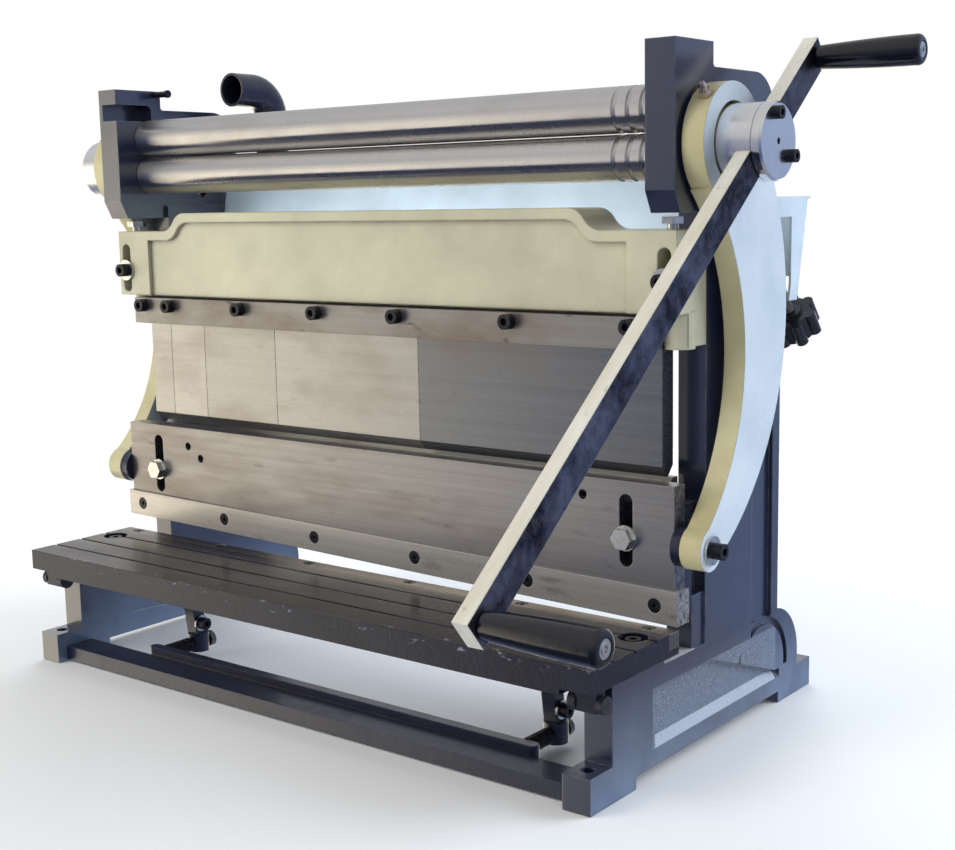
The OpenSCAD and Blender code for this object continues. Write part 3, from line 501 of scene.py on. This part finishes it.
def link_finish(name):
    """Hammer enamel on the flat outer faces, cream on the rim; the faces' pale blue is painted cool light."""
    f = Finish(name, 0.38, 0.0, 0.3, 0.15)
    f.soften(0.0012)
    flat = f.band(f.maths("ABSOLUTE", f.facing[0]), 0.8, 0.95)
    rim = f.mix(f.band(f.noise(14, detail=5), 0.35, 0.7), (0.50, 0.45, 0.24), (0.64, 0.59, 0.36))
    # The flat faces' pale blue stands in for the cool light from the right: painted light.
    face = f.mix(f.band(f.noise(16, detail=4), 0.35, 0.7), (0.54, 0.62, 0.68), (0.66, 0.73, 0.78))
    tone = f.mix(flat, rim, face)
    grime_and_corner_shade = f.times(f.edge, f.band(f.noise(130, detail=5), 0.48, 0.62))
    tone = f.mix(f.times(grime_and_corner_shade, 0.6), tone, (0.16, 0.14, 0.09))
    hammer = f.noise(420, detail=3)
    f.bump(hammer, 0.0006, f.band(flat, 0.0, 1.0, 0.12, 0.75))
    return f.done(tone, f.band(hammer, 0.3, 0.7, 0.30, 0.44))


def lever_finish(name):
    """Hot rolled bar: mottled scale on the broad faces, darkened as painted shade; bright filed edges, made
    brighter as painted highlight.
    """
    f = Finish(name, 0.3, 0.85)
    f.soften(0.0012)
    broad = f.band(f.maths("ABSOLUTE", f.facing[0]), 0.7, 0.9)
    cloud = f.noise(28, detail=8, rough=0.68)
    fleck = f.noise(140, detail=6, rough=0.65)
    # Mill scale, made darker than bare scale as painted shade, for the dark reflection on the broad faces.
    scale = f.mix(f.band(cloud, 0.40, 0.62), (0.008, 0.009, 0.020), (0.16, 0.17, 0.23))
    scale = f.mix(f.band(fleck, 0.52, 0.66, 0.0, 0.7), scale, (0.11, 0.08, 0.08))
    strokes = f.band(f.noise(60, (1, 0.3, 0.3), detail=5), 0.35, 0.7)
    # The narrow faces' near white is partly filed steel and partly painted highlight.
    filed_and_highlit = f.mix(strokes, (0.78, 0.75, 0.60), (0.94, 0.92, 0.84))
    filed_and_highlit = f.mix(f.band(fleck, 0.62, 0.74, 0.0, 0.5), filed_and_highlit, (0.22, 0.17, 0.11))
    tone = f.mix(broad, filed_and_highlit, scale)
    tone = f.mix(f.times(f.edge, 0.5), tone, (0.85, 0.83, 0.76))
    f.link(f.band(broad, 0.0, 1.0, 0.3, 0.9), f.shader.inputs["Metallic"])
    f.bump(fleck, 0.00025, broad)
    f.bump(f.noise(900, (1, 0.2, 0.2), detail=3), 0.00008)
    return f.done(tone, f.band(cloud, 0.3, 0.7, 0.24, 0.46))


def oxide(name, colour=(0.018, 0.018, 0.024), rough=0.3):
    """Black oxide: near black, with the metal showing through along the edges."""
    f = Finish(name, rough, 0.55)
    f.soften(0.0005)
    film = f.noise(220, detail=5)
    tone = f.mix(f.band(film, 0.35, 0.7), scaled(colour, 0.7), scaled(colour, 1.5))
    tone = f.mix(f.times(f.edge, f.band(film, 0.4, 0.6, 0.1, 0.5)), tone, (0.30, 0.31, 0.34))
    f.bump(f.noise(1800, detail=2), 0.00002)
    return f.done(tone, f.band(film, 0.3, 0.7, rough - 0.06, rough + 0.14))


def plated(name):
    """Bright zinc plate with faint milky patches."""
    colour = (0.74, 0.74, 0.70)
    f = Finish(name, 0.2, 1.0)
    f.soften(0.0005)
    milk = f.noise(160, detail=5)
    tone = f.mix(f.band(milk, 0.4, 0.7), colour, scaled(colour, 0.72))
    tone = f.mix(f.times(f.edge, 0.4), tone, (0.92, 0.92, 0.90))
    f.bump(f.noise(900, detail=3), 0.00003)
    return f.done(tone, f.band(milk, 0.3, 0.7, 0.16, 0.34))


def greased(name):
    """Zinc plate with a coppery tint on the hexagon, below the ball."""
    f = Finish(name, 0.22, 1.0)
    f.soften(0.0004)
    film = f.noise(300, detail=4)
    tone = f.mix(f.band(film, 0.3, 0.6), (0.62, 0.42, 0.30), (0.78, 0.72, 0.66))
    f.bump(film, 0.00003)
    return f.done(tone, f.band(film, 0.3, 0.7, 0.16, 0.32))


def moulded(name, colour, rough=0.14):
    """Gloss black plastic with a soft orange peel and a little dust."""
    f = Finish(name, rough, 0.0, 0.3, 0.06)
    f.soften(0.001)
    dust = f.noise(45, detail=6)
    tone = f.mix(f.band(dust, 0.45, 0.75, 0.0, 0.6), colour, scaled(colour, 2.4))
    f.bump(f.noise(210, detail=2), 0.00008)
    return f.done(tone, f.band(dust, 0.4, 0.8, rough, rough + 0.12))


def threaded(name, colour, pitch, along):
    """Steel rod with a rolled thread, its turns square to the direction along."""
    f = Finish(name, 0.3, 0.95)
    place = f.nodes.new("ShaderNodeVectorMath")
    place.operation = "DOT_PRODUCT"
    f.link(f.at, place.inputs[0])
    place.inputs[1].default_value = along
    turn = f.maths("PINGPONG", place.outputs["Value"], pitch / 2)
    height = f.band(turn, 0.0, pitch / 2)
    oil = f.noise(120, detail=5)
    # Painted shade: the thread's troughs take a dark copy of the steel's colour.
    tone = f.mix(height, scaled(colour, 0.35), colour)
    tone = f.mix(f.band(oil, 0.5, 0.75, 0.0, 0.5), tone, (0.12, 0.09, 0.07))
    f.bump(height, 0.0006)
    return f.done(tone, f.band(oil, 0.3, 0.7, 0.24, 0.42))


def bronze_finish(name):
    """Machined bronze with dark oil in its pores."""
    f = Finish(name, 0.28, 1.0)
    f.soften(0.0005)
    pores = f.noise(420, detail=4)
    tone = f.mix(f.band(pores, 0.5, 0.72), (0.62, 0.42, 0.20), (0.30, 0.19, 0.09))
    f.bump(pores, 0.00005)
    return f.done(tone, f.band(pores, 0.3, 0.7, 0.22, 0.4))


def put_on(material, *names):
    """Gives CAD nodes a finish."""
    for name in names:
        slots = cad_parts[name].data.materials
        slots.clear()
        slots.append(material)


def put_on_finger(number, tint):
    """Gives a finger its ground steel, which is dark along the edges."""
    steel = ground(f"finger_steel_{number}", tint, 0.25, 0.30, 0.2, rim=(0.09, 0.08, 0.08))
    put_on(steel, f"finger_{number}")


navy = (0.010, 0.013, 0.034)
navy_edge = (0.10, 0.12, 0.18)
cream = (0.54, 0.52, 0.37)
put_on(casting("navy_casting"), "right_frame", "left_frame")
put_on(paint("navy_steel", navy, navy_edge), "tie_rods", "front_tie", "ram_beam", "stop_bar")
put_on(paint("navy_arms", navy, navy_edge, lump=0.0004), "stop_arms")
put_on(ground("guide_steel", (0.42, 0.42, 0.42), grain=(1, 1, 0.004)), "column_guides")
put_on(bronze_finish("bronze"), "roll_bushes")
put_on(table_finish("table_iron"), "table")
put_on(ground("lower_blade_steel", (0.20, 0.18, 0.18), stain=0.6), "lower_blade")
put_on(
    oxide("black_oxide"), "lower_blade_screws", "table_bolts", "beam_clamp_screws", "upper_blade_screws",
    "plate_set_screws", "link_screws", "clamp_bar_screws", "hub_cap_screws", "stop_arm_screws",
)
put_on(oxide("grey_screws", (0.05, 0.05, 0.06), 0.36), "table_lug_screws")
put_on(plated("zinc"), "frame_washers", "link_washers", "plate_bolts", "beam_jack_screws")
put_on(greased("zinc_and_copper"), "grease_nipples")
put_on(
    paint("pale_sheet", (0.62, 0.72, 0.78), (0.76, 0.80, 0.80), 0.34, 0.2, 0.00006),
    "rear_panel", "rear_guard",
)
put_on(moulded("elbow_black", (0.014, 0.015, 0.030), 0.18), "rear_elbow")
put_on(threaded("rod_steel", (0.30, 0.30, 0.32), 0.00125, (0, 1, 0)), "stop_rods")
put_on(cut_edges("plate_steel", (0.34, 0.33, 0.33), 0.45, 0.5), "front_plate")
put_on(cut_edges("blade_steel", (0.56, 0.54, 0.51), 0.25, 0.4, 0.26, 0.7), "upper_blade")
put_on(ground("die_steel", (0.46, 0.45, 0.45)), "v_die")
put_on(link_finish("link_cream"), "right_link", "left_link")
put_on(turned("pin_steel", (0.55, 0.55, 0.56), 0.24), "link_pins")
put_on(paint("cream_casting", cream, (0.40, 0.36, 0.22), 0.40, 0.25, 0.0004, 0.0022), "brake_beam")
put_on(ground("bar_steel", (0.32, 0.31, 0.30), rough=0.34, stain=0.6, smear=0.8), "clamp_bar")
for number in range(1, 5):
    put_on_finger(number, scaled((1, 0.98, 0.95), 0.40 + 0.02 * (number % 3)))
# Finger 5 is a darker, bluer copy of the steel: painted shade, standing in for the dark reflection it shows.
put_on_finger(5, scaled((1, 1.04, 1.12), 0.22))
put_on(turned("roll_steel", (0.72, 0.70, 0.68), 0.26, 0.000006, 0.9), "lower_roll", "upper_roll", "rear_roll")
put_on(turned("hub_steel", (0.88, 0.88, 0.88), 0.16, spread=0.5), "right_hub", "left_hub", "hub_cap")
put_on(lever_finish("lever_steel"), "lever_bar")
put_on(turned("spindle_steel", (0.72, 0.72, 0.73), 0.16), "grip_spindles")
put_on(moulded("grip_black", (0.003, 0.003, 0.006)), "front_grip", "rear_grip")
put_on(oxide("pin_black"), "latch_pin")
put_on(ground("block_steel", (0.38, 0.38, 0.38)), "rear_blocks")
slope = math.radians(49)
up_the_slope = (0, -math.cos(slope), math.sin(slope))
put_on(threaded("thread_steel", (0.45, 0.45, 0.46), 0.0015, up_the_slope), "right_adjuster", "left_adjuster")
put_on(moulded("knob_black", (0.010, 0.010, 0.014), 0.2), "right_knob", "left_knob")


# ---------------------------------------------------------------- coil springs on the stop rods

def coil_spring(name, x, z, start, end, outer, wire, turns, steel):
    """A compression spring along Y, with closed end turns, as one closed tube."""
    sides = 10
    steps_a_turn = 28
    steps = turns * steps_a_turn
    middle = (outer - wire) / 2
    closed = 1.0
    nearby = 0.01

    def share(turn):
        """How far along the spring a turn is, with the first and last turns lying flat."""
        lead = wire / (end - start)
        if turn < closed:
            return lead * turn
        if turn > turns - closed:
            return 1 - lead * (turns - turn)
        return lead * closed + (1 - 2 * lead * closed) * (turn - closed) / (turns - 2 * closed)

    def centre(turn):
        angle = 2 * math.pi * turn
        along = start + wire / 2 + (end - start - wire) * share(turn)
        return Vector((x + middle * math.cos(angle), along, z + middle * math.sin(angle)))

    spots = []
    for i in range(steps + 1):
        turn = i / steps_a_turn
        angle = 2 * math.pi * turn
        out = Vector((math.cos(angle), 0, math.sin(angle)))
        heading = (centre(min(turn + nearby, turns)) - centre(max(turn - nearby, 0))).normalized()
        side = heading.cross(out)
        for k in range(sides):
            a = 2 * math.pi * k / sides
            spots.append(centre(turn) + wire / 2 * (math.cos(a) * out + math.sin(a) * side))
    faces = [
        (i * sides + k, i * sides + (k + 1) % sides, (i + 1) * sides + (k + 1) % sides, (i + 1) * sides + k)
        for i in range(steps)
        for k in range(sides)
    ]
    faces.append(tuple(reversed(range(sides))))
    faces.append(tuple(steps * sides + k for k in range(sides)))
    mesh = bpy.data.meshes.new(name)
    mesh.from_pydata(spots, [], faces)
    mesh.validate()
    for face in mesh.polygons:
        face.use_smooth = True
    mesh.materials.append(steel)
    spring = bpy.data.objects.new(name, mesh)
    bpy.context.collection.objects.link(spring)
    return spring


def add_springs():
    """Two springs in place of the plain sleeves, held at the arms and pressed by the stop bar."""
    low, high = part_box("stop_springs")
    outer = high.z - low.z
    wire = 0.0018
    turns = 11
    steel = oxide("spring_steel", (0.022, 0.022, 0.028), 0.28)
    level = (low.z + high.z) / 2
    for name, x in (("left_spring", low.x + outer / 2), ("right_spring", high.x - outer / 2)):
        spring = coil_spring(name, x, level, low.y, high.y, outer, wire, turns, steel)
        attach(spring, "stop")
        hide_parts("stop_springs")
        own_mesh(spring)


add_springs()
